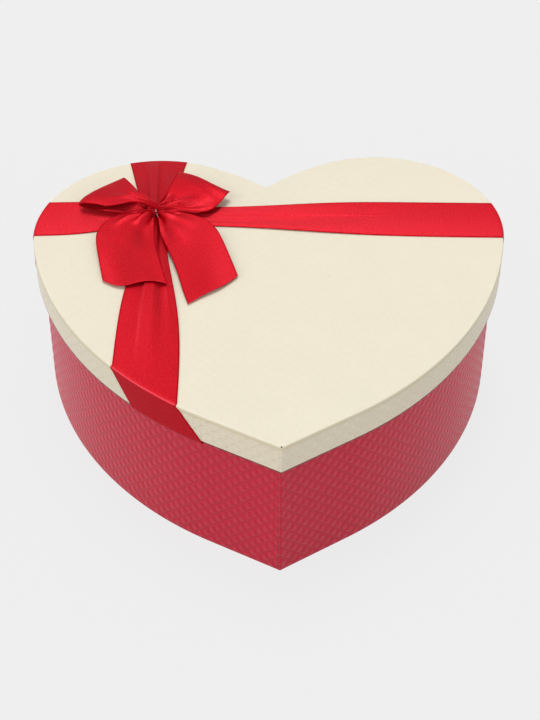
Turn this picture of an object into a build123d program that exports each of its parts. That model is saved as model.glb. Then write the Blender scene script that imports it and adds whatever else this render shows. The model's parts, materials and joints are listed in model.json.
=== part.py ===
from build123d import *
import os
from math import atan2, cos, hypot, radians, sin, sqrt

# Heart outline of the lid, over its paper. The tip points to -Y and the notch to +Y.
LID_WIDTH = 290.0
LOBE_RADIUS = 76.0
NOTCH_RADIUS = 160.0    # shallow arc from the notch up to the lobe
SIDE_RADIUS = 212.0     # long arc from the lobe down towards the tip
TIP_RUN = 50.0          # straight from the end of that arc to the tip
LOBE_SHOULDER = 115.2   # degrees, from +X round the lobe to where the notch arc begins
TIP_DROP = 190.5        # tip below the middle of the lobe

# Heights
BOX_HEIGHT = 106.0      # table to the top of the lid's paper
SKIRT_HEIGHT = 20.5     # lid skirt, over its paper

# Sheet thicknesses and how far each paper is turned over
BOARD = 2.0             # greyboard
PAPER = 0.3
RIM_TURN_IN = 18.0      # red paper turned in below the base's rim
BASE_FLAP = 12.0        # red paper turned under the base
LID_GAP = 1.9           # between the lid's inner paper and the base's outer paper

# Ribbon bands
RIBBON_WIDTH = 37.0
RIBBON = 0.4            # thickness of the satin
RIBBON_TUCK = 9.0       # band turned up inside the skirt
KNOT_OUT = 0.6          # the bow is tied this far outside the middle of the left lobe
KNOT_BACK = 15.8        # and this far behind it
LEFT_END_DRIFT = 0.0    # how far the cross band runs backward on its way to the left edge
RIGHT_END_DRIFT = -10.0 # and to the right edge
BACK_END_DRIFT = 0.6    # how far the long band runs to the right on its way to the back edge
FRONT_END_DRIFT = -5.6  # and to the front edge
CROSS_WAIST = 16.0      # width of the cross band where it is gathered under the bow
LONG_WAIST = 12.0       # width of the long band there
GATHER_STEPS = ((0, 0), (0.25, 0.12), (0.55, 0.7))  # shares of the way from the knot to the edge
                        # of the lid, and of the band's widening from its waist
BRIDGE_GAP = 0.8        # the cross band clears the long band by this where it steps over it
BRIDGE_LAP = 1.5        # length of the step

# Bow
BOW_WAIST = 8.0         # diameter of the gathered waist
BOW_WAIST_LENGTH = 9.0
BOW_NECK = 7.0          # width of a loop or tail where it leaves the waist
LOOP_LENGTH = 43.0      # from the knot to the outer fold
LOOP_END_RADIUS = 6.0
LOOP_CLEARANCE = 1.2    # under the loop's outer end, above the cross band
LEFT_LOOP_ANGLE = 148.0
RIGHT_LOOP_ANGLE = 44.0
LEFT_TAIL_LENGTH = 67.0
LEFT_TAIL_ANGLE = 259.0
LEFT_TAIL_CUT = -4.0    # slant of the cut end, in degrees
RIGHT_TAIL_LENGTH = 80.0
RIGHT_TAIL_ANGLE = 296.0
RIGHT_TAIL_CUT = -16.0
TAIL_ARCH = 3.0         # how far the middle of a tail stands above a straight fall
TAIL_REST = 0.3         # under a tail's end, above the band it lies over
LAYER_LIFT = 0.7        # the right tail lies this much higher than the left one
TAIL_SPREAD = 22.0      # a tail has its full width this far from the knot
WIRE = 0.8              # diameter of the tie wire
WIRE_GAP = 0.15

# Levels and insets that follow from the sizes above
LID_TOP = BOX_HEIGHT
SKIRT_BOTTOM = BOX_HEIGHT - SKIRT_HEIGHT
LID_BOARD_UNDER = LID_TOP - PAPER - BOARD
RIM = LID_BOARD_UNDER - PAPER
FLOOR_TOP = PAPER + BOARD
LID_BOARD_FACE = PAPER
LID_BOARD_INNER = PAPER + BOARD
LID_INNER = LID_BOARD_INNER + PAPER
BASE_FACE = LID_INNER + LID_GAP
BASE_BOARD_FACE = BASE_FACE + PAPER
BASE_BOARD_INNER = BASE_BOARD_FACE + BOARD
BASE_INNER = BASE_BOARD_INNER + PAPER
FAR = 2 * LID_WIDTH     # longer than anything that is cut


def circle_meeting(x_a, y_a, radius_a, x_b, y_b, radius_b, side):
    """Point at radius_a from a and radius_b from b, to the left (1) or right (-1) of a to b."""
    apart = hypot(x_b - x_a, y_b - y_a)
    along = (radius_a**2 - radius_b**2 + apart**2) / (2 * apart)
    across = side * sqrt(radius_a**2 - along**2)
    unit_x = (x_b - x_a) / apart
    unit_y = (y_b - y_a) / apart
    return x_a + along * unit_x - across * unit_y, y_a + along * unit_y + across * unit_x


# Middles of the three arcs of the right half, and the angle on the last one at which the
# straight run to the tip begins. The outline is centred on the origin along Y.
LOBE_X = LID_WIDTH / 2 - LOBE_RADIUS
LOBE_Y = (TIP_DROP - LOBE_RADIUS) / 2
NOTCH_ARC = (
    LOBE_X - (NOTCH_RADIUS - LOBE_RADIUS) * cos(radians(LOBE_SHOULDER)),
    LOBE_Y - (NOTCH_RADIUS - LOBE_RADIUS) * sin(radians(LOBE_SHOULDER)),
)
TIP_Y = LOBE_Y - TIP_DROP
SIDE_ARC = circle_meeting(
    0, TIP_Y, hypot(SIDE_RADIUS, TIP_RUN), LOBE_X, LOBE_Y, SIDE_RADIUS - LOBE_RADIUS, 1
)
RUN_START = atan2(TIP_Y - SIDE_ARC[1], -SIDE_ARC[0]) + atan2(TIP_RUN, SIDE_RADIUS)

# Where the bands cross and the bow is tied
KNOT_X = -LOBE_X - KNOT_OUT
KNOT_Y = LOBE_Y + KNOT_BACK


def on_circle(middle, radius, angle):
    return middle[0] + radius * cos(angle), middle[1] + radius * sin(angle)


def arc_between(middle, radius, start, end):
    """Arc round middle from the angle start to the angle end."""
    return ThreePointArc(
        on_circle(middle, radius, start),
        on_circle(middle, radius, (start + end) / 2),
        on_circle(middle, radius, end),
    )


def half_outline(inset):
    """Edges of the right half, from the notch to the tip, moved inward by inset."""
    notch_radius = NOTCH_RADIUS - inset
    lobe_radius = LOBE_RADIUS - inset
    side_radius = SIDE_RADIUS - inset
    notch_y = NOTCH_ARC[1] + sqrt(notch_radius**2 - NOTCH_ARC[0] ** 2)
    run_x, run_y = on_circle(SIDE_ARC, side_radius, RUN_START)
    tip_y = run_y + run_x * cos(RUN_START) / sin(RUN_START)
    at_notch = atan2(notch_y - NOTCH_ARC[1], -NOTCH_ARC[0])
    lobe_start = radians(LOBE_SHOULDER)
    lobe_end = atan2(LOBE_Y - SIDE_ARC[1], LOBE_X - SIDE_ARC[0])
    edges = [
        arc_between(NOTCH_ARC, notch_radius, at_notch, lobe_start),
        arc_between((LOBE_X, LOBE_Y), lobe_radius, lobe_start, lobe_end),
        arc_between(SIDE_ARC, side_radius, lobe_end, RUN_START),
        Line((run_x, run_y), (0, tip_y)),
    ]
    return edges, notch_y, tip_y


def half_face(inset):
    edges, notch_y, tip_y = half_outline(inset)
    return make_face(edges + [Line((0, tip_y), (0, notch_y))])


def heart_face(inset):
    edges = half_outline(inset)[0]
    return make_face(edges + [mirror(edge, about=Plane.YZ) for edge in edges])


def panel(inset, low, high):
    """Whole heart between two levels."""
    return Pos(0, 0, low) * extrude(heart_face(inset), high - low)


def strip(outer, inner, low, high):
    """Right half of the band between two insets."""
    return Pos(0, 0, low) * extrude(half_face(outer) - half_face(inner), high - low)


def both_sides(right):
    return {"left": mirror(right, about=Plane.YZ), "right": right}


def base_nodes():
    wrap = strip(BASE_FACE, BASE_BOARD_FACE, 0, RIM)
    wrap += strip(BASE_BOARD_FACE, BASE_FACE + BASE_FLAP, 0, PAPER)
    wrap += strip(BASE_BOARD_FACE, BASE_INNER, RIM - PAPER, RIM)
    wrap += strip(BASE_BOARD_INNER, BASE_INNER, RIM - RIM_TURN_IN, RIM - PAPER)
    wall = strip(BASE_BOARD_FACE, BASE_BOARD_INNER, PAPER, RIM - PAPER)
    lining = strip(BASE_BOARD_INNER, BASE_INNER, FLOOR_TOP, RIM - RIM_TURN_IN)
    nodes = {
        "base_bottom_paper": panel(BASE_FACE + BASE_FLAP, 0, PAPER),
        "base_floor_board": panel(BASE_BOARD_INNER, PAPER, FLOOR_TOP),
        "base_floor_lining": panel(BASE_INNER, FLOOR_TOP, FLOOR_TOP + PAPER),
    }
    for name, right in (("wall", wall), ("wrap", wrap), ("wall_lining", lining)):
        for side, solid in both_sides(right).items():
            nodes[f"base_{name}_{side}"] = solid
    return nodes


def lid_nodes():
    wrap = strip(0, LID_BOARD_FACE, SKIRT_BOTTOM, LID_TOP - PAPER)
    wrap += strip(LID_BOARD_FACE, LID_INNER, SKIRT_BOTTOM, SKIRT_BOTTOM + PAPER)
    wrap += strip(LID_BOARD_INNER, LID_INNER, SKIRT_BOTTOM + PAPER, LID_BOARD_UNDER)
    skirt = strip(LID_BOARD_FACE, LID_BOARD_INNER, SKIRT_BOTTOM + PAPER, LID_TOP - PAPER)
    nodes = {
        "lid_top_board": panel(LID_BOARD_INNER, LID_BOARD_UNDER, LID_TOP - PAPER),
        "lid_top_paper": panel(0, LID_TOP - PAPER, LID_TOP),
        "lid_lining": panel(LID_INNER, RIM, LID_BOARD_UNDER),
    }
    for name, right in (("skirt", skirt), ("wrap", wrap)):
        for side, solid in both_sides(right).items():
            nodes[f"lid_{name}_{side}"] = solid
    return nodes


def edge_height(x, lower):
    """Y of the lid's outline at x, on its back or on its lower, front side."""
    if lower and abs(x) < SIDE_ARC[0] + SIDE_RADIUS * cos(RUN_START):
        return TIP_Y - abs(x) * cos(RUN_START) / sin(RUN_START)
    if lower:
        return SIDE_ARC[1] - sqrt(SIDE_RADIUS**2 - (abs(x) - SIDE_ARC[0]) ** 2)
    if abs(x) < LOBE_X + LOBE_RADIUS * cos(radians(LOBE_SHOULDER)):
        return NOTCH_ARC[1] + sqrt(NOTCH_RADIUS**2 - (abs(x) - NOTCH_ARC[0]) ** 2)
    return LOBE_Y + sqrt(LOBE_RADIUS**2 - (abs(x) - LOBE_X) ** 2)


def edge_reach(y, side):
    """X of the lid's outline at y, on the left (-1) or right (1)."""
    lobe_share = LOBE_RADIUS / (SIDE_RADIUS - LOBE_RADIUS)
    if y < LOBE_Y + (LOBE_Y - SIDE_ARC[1]) * lobe_share:
        return side * (SIDE_ARC[0] + sqrt(SIDE_RADIUS**2 - (y - SIDE_ARC[1]) ** 2))
    return side * (LOBE_X + sqrt(LOBE_RADIUS**2 - (y - LOBE_Y) ** 2))


def fold_frame(start, end, heading):
    """Middle of a fold, its direction along the lid's edge, and how far the band drifts along
    the edge for each millimetre it falls: a flat band keeps its angle to the edge it folds over."""
    length = hypot(end[0] - start[0], end[1] - start[1])
    along = (end[0] - start[0]) / length, (end[1] - start[1]) / length
    cosine = along[0] * heading[0] + along[1] * heading[1]
    drift = cosine / sqrt(1 - cosine**2)
    middle = (start[0] + end[0]) / 2, (start[1] + end[1]) / 2
    return middle, along, length, drift


def lid_skin():
    """Everything that a band of ribbon could cover: skirt, rim and inside of the skirt."""
    side = strip(-RIBBON, 0, SKIRT_BOTTOM - RIBBON, LID_TOP + RIBBON)
    under = strip(0, LID_INNER + RIBBON, SKIRT_BOTTOM - RIBBON, SKIRT_BOTTOM)
    inside = strip(LID_INNER, LID_INNER + RIBBON, SKIRT_BOTTOM, SKIRT_BOTTOM + RIBBON_TUCK)
    outer = side + mirror(side, about=Plane.YZ)
    tuck = under + inside
    return outer, tuck + mirror(tuck, about=Plane.YZ)


def band_end(start, end, heading, skins):
    """The end of a band: down the skirt from the fold between start and end, then tucked in."""
    middle, along, length, drift = fold_frame(start, end, heading)
    normal = along[1], -along[0]
    if normal[0] * heading[0] + normal[1] * heading[1] < 0:
        normal = -normal[0], -normal[1]
    low = SKIRT_BOTTOM - RIBBON
    shift = drift * (LID_TOP - low)
    half = length / 2
    wall = Plane(origin=(*middle, 0), x_dir=(*along, 0), z_dir=(*normal, 0))
    up = 1 if wall.y_dir.Z > 0 else -1
    reach = LOBE_RADIUS / 4
    fall = Polygon(
        (-half, up * (LID_TOP + RIBBON)),
        (half, up * (LID_TOP + RIBBON)),
        (half, up * LID_TOP),
        (half + shift, up * low),
        (-half + shift, up * low),
        (-half, up * LID_TOP),
        align=None,
    )
    tucked = Polygon(
        (-half + shift, up * (low - 1)),
        (half + shift, up * (low - 1)),
        (half + shift, up * LID_TOP),
        (-half + shift, up * LID_TOP),
        align=None,
    )
    outer, tuck = skins
    return outer & extrude(wall * fall, reach, both=True), tuck & extrude(wall * tucked, reach, both=True)


def across(point, heading, width):
    """The two points half a width to the left and right of a point on a band."""
    left = point[0] - heading[1] * width / 2, point[1] + heading[0] * width / 2
    right = point[0] + heading[1] * width / 2, point[1] - heading[0] * width / 2
    return left, right


def heading_to(point):
    """Unit direction from the knot to a point, and the distance."""
    far = hypot(point[0] - KNOT_X, point[1] - KNOT_Y)
    return ((point[0] - KNOT_X) / far, (point[1] - KNOT_Y) / far), far


def gathered_width(waist, widening):
    return waist + (RIBBON_WIDTH - waist) * widening


def band_plan(fold, heading, distance, waist):
    """Outline of one arm of a band, from the knot to its fold, widening from the waist."""
    left = []
    right = []
    for share, widening in GATHER_STEPS:
        point = KNOT_X + heading[0] * distance * share, KNOT_Y + heading[1] * distance * share
        sides = across(point, heading, gathered_width(waist, widening))
        left.append(sides[0])
        right.append(sides[1])
    beyond = [(x + heading[0] * RIBBON * 2, y + heading[1] * RIBBON * 2) for x, y in fold]
    return Polygon(*left, fold[0], beyond[0], beyond[1], fold[1], *reversed(right), align=None)


def cross_folds():
    """Fold lines of the cross band at the left and right edges, left-hand end first."""
    folds = []
    for side, y in ((-1, KNOT_Y + LEFT_END_DRIFT), (1, KNOT_Y + RIGHT_END_DRIFT)):
        heading, distance = heading_to((edge_reach(y, side), y))
        ends = y + side * RIBBON_WIDTH / 2, y - side * RIBBON_WIDTH / 2
        folds.append((heading, distance, [(edge_reach(end, side), end) for end in ends]))
    return folds


def long_folds():
    """Fold lines of the long band at the back and front edges, left-hand end first."""
    folds = []
    for x, lower in ((KNOT_X + BACK_END_DRIFT, False), (KNOT_X + FRONT_END_DRIFT, True)):
        heading, distance = heading_to((x, edge_height(x, lower)))
        turn = 1 if lower else -1
        ends = x + turn * RIBBON_WIDTH / 2, x - turn * RIBBON_WIDTH / 2
        folds.append((heading, distance, [(end, edge_height(end, lower)) for end in ends]))
    return folds


def band(folds, waist, skins):
    top = []
    falls = []
    limit = panel(-RIBBON, LID_TOP, LID_TOP + RIBBON)
    for heading, distance, fold in folds:
        plan = band_plan(fold, heading, distance, waist)
        top.append(limit & (Pos(0, 0, LID_TOP) * extrude(plan, RIBBON, dir=(0, 0, 1))))
        falls.extend(band_end(fold[0], fold[1], heading, skins))
    return top[0] + top[1], falls


def ribbon_nodes():
    skins = lid_skin()
    long_top, long_falls = band(long_folds(), LONG_WAIST, skins)
    cross_top, cross_falls = band(cross_folds(), CROSS_WAIST, skins)
    half = gathered_width(LONG_WAIST, GATHER_STEPS[1][1]) / 2 + BRIDGE_GAP
    knot = Pos(KNOT_X, KNOT_Y, LID_TOP + RIBBON / 2)
    flat = cross_top - knot * Box(2 * half, FAR, 2 * RIBBON)
    step = cross_top & knot * Box(2 * (half + BRIDGE_LAP), FAR, 2 * RIBBON)
    cross = flat + Pos(0, 0, RIBBON) * step
    for fall in cross_falls:
        cross += fall
    long_band = long_top
    for fall in long_falls:
        long_band += fall
    return {"cross_ribbon": cross, "long_ribbon": long_band}


BAND_TOP = LID_TOP + 2 * RIBBON
WIRE_RADIUS = BOW_WAIST / 2 + WIRE_GAP + WIRE / 2
WAIST_LEVEL = BAND_TOP + WIRE_RADIUS + WIRE / 2


def arm_plane(angle):
    """Upright plane through the knot, with X along an arm of the bow and Y up."""
    heading = cos(radians(angle)), sin(radians(angle)), 0
    return Plane(origin=(KNOT_X, KNOT_Y, 0), x_dir=heading, z_dir=(heading[1], -heading[0], 0))


def arm_plan(angle, length, spread, cut):
    """Seen from above: the arm widens from its neck to the ribbon's width and ends in a cut."""
    slant = RIBBON_WIDTH / 2 * sin(radians(cut)) / cos(radians(cut))
    half = RIBBON_WIDTH / 2
    outline = Polygon(
        (0, -BOW_NECK / 2),
        (spread, -half),
        (length - slant, -half),
        (length + slant, half),
        (spread, half),
        (0, BOW_NECK / 2),
        align=None,
    )
    return Pos(KNOT_X, KNOT_Y, 0) * (Rot(0, 0, angle) * extrude(outline, FAR))


def teardrop(reach, level, radius):
    """Profile of a loop: two straight runs from the knot, tangent to a round end."""
    middle = reach - LOOP_END_RADIUS, level
    apart = hypot(middle[0], middle[1] - WAIST_LEVEL)
    tilt = atan2(middle[1] - WAIST_LEVEL, middle[0])
    opening = atan2(radius, sqrt(apart**2 - radius**2))
    run = sqrt(apart**2 - radius**2)
    upper = run * cos(tilt + opening), WAIST_LEVEL + run * sin(tilt + opening)
    lower = run * cos(tilt - opening), WAIST_LEVEL + run * sin(tilt - opening)
    crown = middle[0] + radius * cos(tilt), middle[1] + radius * sin(tilt)
    return make_face([
        Line((0, WAIST_LEVEL), upper),
        ThreePointArc(upper, crown, lower),
        Line(lower, (0, WAIST_LEVEL)),
    ])


def loop(angle):
    level = BAND_TOP + LOOP_CLEARANCE + LOOP_END_RADIUS
    ring = teardrop(LOOP_LENGTH, level, LOOP_END_RADIUS)
    ring -= teardrop(LOOP_LENGTH, level, LOOP_END_RADIUS - RIBBON)
    ribbon = extrude(arm_plane(angle) * ring, RIBBON_WIDTH, both=True)
    return ribbon & arm_plan(angle, LOOP_LENGTH + 1, LOOP_LENGTH, 0)


def tail(angle, length, cut, rest):
    """A tail leaves the waist and falls in a low arch to the band it lies over."""
    start = WAIST_LEVEL - BOW_WAIST / 4
    end = BAND_TOP + rest
    slant = RIBBON_WIDTH / 2 * sin(radians(cut)) / cos(radians(cut))
    reach = length + abs(slant)
    low = (0, start), (reach / 2, (start + end) / 2 + TAIL_ARCH), (reach, end)
    high = [(x, y + RIBBON) for x, y in low]
    profile = make_face([
        ThreePointArc(*low),
        Line(low[2], high[2]),
        ThreePointArc(*high),
        Line(high[0], low[0]),
    ])
    ribbon = extrude(arm_plane(angle) * profile, RIBBON_WIDTH, both=True)
    return ribbon & arm_plan(angle, length, TAIL_SPREAD, cut)


def bow_nodes():
    lying = Pos(KNOT_X, KNOT_Y, WAIST_LEVEL) * Rot(0, 90, 0)
    bow = lying * Cylinder(BOW_WAIST / 2, BOW_WAIST_LENGTH)
    crease = Pos(KNOT_X, KNOT_Y, WAIST_LEVEL) * Box(
        WIRE + 2 * WIRE_GAP, 2 * WIRE_RADIUS + WIRE + 2 * WIRE_GAP, FAR
    )
    arms = (
        loop(LEFT_LOOP_ANGLE),
        loop(RIGHT_LOOP_ANGLE),
        tail(LEFT_TAIL_ANGLE, LEFT_TAIL_LENGTH, LEFT_TAIL_CUT, TAIL_REST),
        tail(RIGHT_TAIL_ANGLE, RIGHT_TAIL_LENGTH, RIGHT_TAIL_CUT, TAIL_REST + LAYER_LIFT),
    )
    for arm in arms:
        bow += arm - crease
    return {"bow": bow, "tie_wire": lying * Torus(WIRE_RADIUS, WIRE / 2)}


os.makedirs("parts", exist_ok=True)
for make in (base_nodes, lid_nodes, ribbon_nodes, bow_nodes):
    for node, solid in make().items():
        export_step(solid, f"parts/{node}.step")
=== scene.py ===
import json
from math import atan2, cos, hypot, pi, radians, sin, sqrt

import bpy
import numpy as np
from mathutils import Matrix, Vector


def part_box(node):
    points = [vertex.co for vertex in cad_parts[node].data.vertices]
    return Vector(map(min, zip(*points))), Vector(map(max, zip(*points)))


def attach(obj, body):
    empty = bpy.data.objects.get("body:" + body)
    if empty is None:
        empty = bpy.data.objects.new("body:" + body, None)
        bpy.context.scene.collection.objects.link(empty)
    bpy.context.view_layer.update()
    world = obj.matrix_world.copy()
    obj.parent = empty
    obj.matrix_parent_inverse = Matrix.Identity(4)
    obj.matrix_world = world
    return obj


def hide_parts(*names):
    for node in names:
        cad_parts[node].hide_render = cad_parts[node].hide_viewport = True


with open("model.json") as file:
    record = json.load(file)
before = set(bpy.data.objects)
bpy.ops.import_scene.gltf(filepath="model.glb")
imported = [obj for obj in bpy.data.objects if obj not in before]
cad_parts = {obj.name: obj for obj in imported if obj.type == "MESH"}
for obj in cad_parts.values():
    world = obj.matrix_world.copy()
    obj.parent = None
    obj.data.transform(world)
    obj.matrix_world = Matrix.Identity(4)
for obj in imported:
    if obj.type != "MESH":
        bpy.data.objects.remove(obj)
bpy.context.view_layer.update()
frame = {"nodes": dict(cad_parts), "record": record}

# Sizes are in millimetres up to the point where a mesh is made.
MM = 0.001

# Heart outline of the lid, over its paper, as in the solids
LID_WIDTH = 290.0
LOBE_RADIUS = 76.0
NOTCH_RADIUS = 160.0
SIDE_RADIUS = 212.0
TIP_RUN = 50.0  # straight part of the side next to the tip
LOBE_SHOULDER = radians(115.2)
TIP_DROP = 190.5
LOBE_X = LID_WIDTH / 2 - LOBE_RADIUS
LOBE_Y = (TIP_DROP - LOBE_RADIUS) / 2
TIP_Y = LOBE_Y - TIP_DROP

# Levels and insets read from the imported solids
LID_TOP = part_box("lid_top_paper")[1].z / MM
SKIRT_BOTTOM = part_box("lid_wrap_left")[0].z / MM
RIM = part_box("base_wrap_left")[1].z / MM
TURN_IN_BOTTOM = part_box("base_wall_lining_left")[1].z / MM
LID_INNER = LID_WIDTH / 2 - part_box("lid_lining")[1].x / MM
BASE_FACE = LID_WIDTH / 2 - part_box("base_wrap_right")[1].x / MM
BASE_INNER = LID_WIDTH / 2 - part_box("base_floor_lining")[1].x / MM
FLAP_INSET = LID_WIDTH / 2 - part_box("base_bottom_paper")[1].x / MM
LID_BOARD_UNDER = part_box("lid_top_board")[0].z / MM

# Paper
PAPER = 0.28  # thickness of a cover paper
FOLD_RADIUS = 0.7  # where a paper turns over an edge
EMBOSS_PITCH = 5.85  # between the embossed pillows, along and across the slanting rows
EMBOSS_SLANT = radians(-44.0)
RED_RELIEF = 0.16  # height of the pillows on the red paper
SKIRT_RELIEF = 0.14  # and on the cream paper of the skirt
TOP_RELIEF = 0.035  # and of the lid's top
SEAM_LAP = 1.1  # the right half's papers turn round the tip onto the left half
SEAM_RISE = 0.25  # and lie this much further out there
SEAM_FADE = 8.0  # length over which that rise dies away
# The gap beside the lap is only painted shade on the paper, not a gap in the mesh
SEAM_GAP = (0.1, 0.5)  # from the middle of the gap beside the lap to where it ends
SEAM_GAP_PLACE = 0.2  # middle of that gap beyond the lap's edge
SEAM_LOW = (25.0, 70.0)  # levels between which the gap grows fainter
WALL_STEP = 1.12  # mesh step on the embossed walls
TOP_STEP = 1.75  # mesh step on the lid's top
TOP_TURN_DOWN = 2.6  # the top paper's edge turned down over the skirt
TOP_TURN_OUT = 0.15  # and standing off it
# Emboss as shares of its pitch: half the width of the line between two rows, the pillows' ends
# from the middle of a row, the steep and the gentle side of a pillow along it, and how far it is
# bowed and leans
LINE_HALF = (0.010, 0.044)
PILLOW_ENDS = (0.22, 0.39)
PILLOW_RISE = (0.64, 0.78)
PILLOW_FALL = (0.0, 0.55)
PILLOW_BOW = 0.5
PILLOW_LEAN = 0.29
FACE_FADE = 3.0  # the pillows die away over this length next to a fold
# Marks on the papers: how far below the lid's top the turned-down edge shows, how far above the
# skirt's bottom the painted shade along its fold reaches, and the place of the pinhole's painted
# shade behind and below the tip and its radius
TURNED_EDGE = (0.9, 0.5)
RIM_FOLD = (1.3, 1.6)
PINHOLE_BACK = 0.6
PINHOLE_DROP = 0.3
PINHOLE_RADIUS = (0.35, 0.65)

# Ribbon
RIBBON_WIDTH = 37.0
RIBBON = 0.3  # thickness of the satin
RIBBON_LIFT = 0.3  # middle of the satin above what it lies on
EDGE_RADIUS = 1.0  # where a band folds over the lid's edge
TUCK = 8.0  # band turned up inside the skirt
SATIN_GLOW = 0.22  # share of the satin's look that is light passing through
GLINT_SHARE = 0.09  # share that is the floats' own pale gloss
# The woven edge, from the ribbon's middle, and the levels from the lid's top between which the
# painted highlight along the band's fold over the lid's edge sets in and ends
WOVEN_EDGE = (RIBBON_WIDTH / 2 - 1.0, RIBBON_WIDTH / 2 - 0.6)
CREASE_BELOW = (-0.5, -0.15)
CREASE_ABOVE = (0.26, 0.38)
BAND_STEP = 1.4  # mesh step along a band
BAND_COLUMNS = 61  # points across a band
BOW_COLUMNS = 81  # points across a loop or a tail
LOOP_ROWS = 180  # points along a loop
TAIL_ROWS = 130  # points along a tail
KNOT = np.array((-LOBE_X - 0.6, LOBE_Y + 15.8))
# How far the ends of the bands' arms lie beside the knot, and the bands' widths at the knot
LEFT_END_DRIFT = 1.4
RIGHT_END_DRIFT = -10.0
BACK_END_DRIFT = 0.6
FRONT_END_DRIFT = -5.6
CROSS_WAIST = 18.0
LONG_WAIST = 12.0
LONG_OVER = 0.8  # the long band passes over the cross band
# Shares of an arm's length between which that lift dies away, and between which the arm comes
# down onto the lid's edge
OVER_FADE = (0.08, 0.3)
EDGE_SETTLE = (0.88, 1.0)
# How far the left and the right arm, and the back and the front one, stand off the lid at most
CROSS_WAVES = (0.4, 0.6)
LONG_WAVES = (0.5, 0.4)
FRONT_SWAY = 0.4  # the long band's front arm bends to the right
# How the bands' arms widen from the knot: the power of the curve and how long it holds back
CROSS_OPENING = (2.2, 0.50)
FRONT_OPENING = (2.1, 0.39)
BACK_OPENING = (0.92, 0.78)
# Raised strips of the arms: a step and its softness, the other step and its softness, as shares
# of half the width, then the height and how far from the knot the strip reaches
CROSS_LEFT_PLEATS = ((-0.5, 0.15, 0.1, 0.2, 0.7, 0.7),)
CROSS_RIGHT_PLEATS = ((-1.3, 0.1, -0.16, 0.05, 0.6, 0.8), (0.55, 0.1, 0.9, 0.15, 0.5, 0.5))
BACK_PLEATS = ((-0.44, 0.04, 0.03, 0.04, 2.0, 1.35), (0.35, 0.12, 0.8, 0.15, 0.6, 0.8))
FRONT_PLEATS = ((-0.3, 0.04, 0.25, 0.18, 1.5, 0.95), (0.6, 0.1, 1.3, 0.1, 0.5, 0.8))
WAIST_RADIUS = 2.7  # gathered waist of the bow
WAIST_LENGTH = 10.0
WAIST_LEVEL = 5.0  # middle of the waist above the lid
WIRE = 0.4  # diameter of the tie wire
WIRE_TURNS = 2  # round the waist
TWIST_TURNS = 5  # of the wire's ends round each other
TWIST_RADIUS = 0.32
TWIST_LENGTH = 6.5
FULLNESS = 0.74  # share of the ribbon's width in a row, pleats and turned edge counted
TURN_SHARE = 0.8  # most that is turned under an edge, as a share of the row's width
ROLL_RADIUS = 0.7  # of an edge turned under
PLEAT_LIMIT = 1.5  # highest pleat next to the knot
LOW_PLY = 1.6  # least height of the bow's lower plies above the lid
LOOP_CROWN = 1.1  # how far a loop's upper ply is arched
TAIL_CROWN = 0.6  # and a tail
END_WAVES = 1.15  # waves across a tail's cut end
END_PHASE = 2.4  # and where they start

# Camera, found from the lid's outline in the photograph
CAMERA_PLACE = Vector((-31.37, -778.36, 748.96)) * MM
CAMERA_TARGET = Vector((-3.69, -62.92, 106.0)) * MM
CAMERA_ROLL = radians(0.217)
FOCAL_PIXELS = 1700.0
IMAGE_WIDTH = 540
SENSOR_WIDTH = 36.0

# Colours, linear
RED_PAPER = (0.63, 0.004, 0.037)
CREAM_PAPER = (0.882, 0.814, 0.643)
SKIRT_CREAM = (0.915, 0.82, 0.632)
LINING_PAPER = (0.80, 0.77, 0.70)
GREYBOARD = (0.30, 0.28, 0.25)
RED_SATIN = (0.645, 0.002, 0.012)
# Painted highlight along the bands' fold over the lid's edge
CREASE_HIGHLIGHT = (0.90, 0.07, 0.10)
GLINT_PINK = (1.0, 0.20, 0.25)
SILVER = (0.36, 0.27, 0.28)
# Painted shade for the gap beside the lap at the tip and for the pinhole there
GAP_SHADE_DARK = (0.10, 0.008, 0.014)
WARM_EDGE = (0.80, 0.68, 0.43)
# Painted shade along the fold at the bottom of the skirt
RIM_SHADE_DARK = (0.20, 0.015, 0.012)
PALE_FLOOR = 0.863
DULL_FLOOR = 0.45
EVEN_SHARE = 0.85  # of the floor's look that is its own even tone

# Floor, in metres, and the lights: the level of the surroundings, then for each distant light its
# name, the way it shines, its strength and how wide it is in degrees
FLOOR_CORNERS = ((-6, -6, 0), (6, -6, 0), (6, 9, 0), (-6, 9, 0))
WORLD_LEVEL = 0.35
SUNS = (
    ("behind", (0.02, -0.30, -0.95), 0.44, 26.0),
    ("left_front", (0.95, 0.65, -0.45), 0.40, 60.0),
    ("right_front", (-0.8, 0.8, -0.35), 0.25, 60.0),
)


# Outline of the heart

def circle_meeting(a, radius_a, b, radius_b):
    """Point at radius_a from a and radius_b from b, to the left of the way from a to b."""
    apart = hypot(b[0] - a[0], b[1] - a[1])
    along = (radius_a**2 - radius_b**2 + apart**2) / (2 * apart)
    aside = sqrt(radius_a**2 - along**2)
    unit = (b[0] - a[0]) / apart, (b[1] - a[1]) / apart
    return a[0] + along * unit[0] - aside * unit[1], a[1] + along * unit[1] + aside * unit[0]


NOTCH_ARC = (
    LOBE_X - (NOTCH_RADIUS - LOBE_RADIUS) * cos(LOBE_SHOULDER),
    LOBE_Y - (NOTCH_RADIUS - LOBE_RADIUS) * sin(LOBE_SHOULDER),
)
SIDE_ARC = circle_meeting(
    (0, TIP_Y), hypot(SIDE_RADIUS, TIP_RUN), (LOBE_X, LOBE_Y), SIDE_RADIUS - LOBE_RADIUS
)
RUN_START = atan2(TIP_Y - SIDE_ARC[1], -SIDE_ARC[0]) + atan2(TIP_RUN, SIDE_RADIUS)
LOBE_END = atan2(LOBE_Y - SIDE_ARC[1], LOBE_X - SIDE_ARC[0])
SIDE_LENGTH = SIDE_RADIUS * (LOBE_END - RUN_START)
LOBE_LENGTH = LOBE_RADIUS * (LOBE_SHOULDER - LOBE_END)
NOTCH_Y = NOTCH_ARC[1] + sqrt(NOTCH_RADIUS**2 - NOTCH_ARC[0] ** 2)
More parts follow.
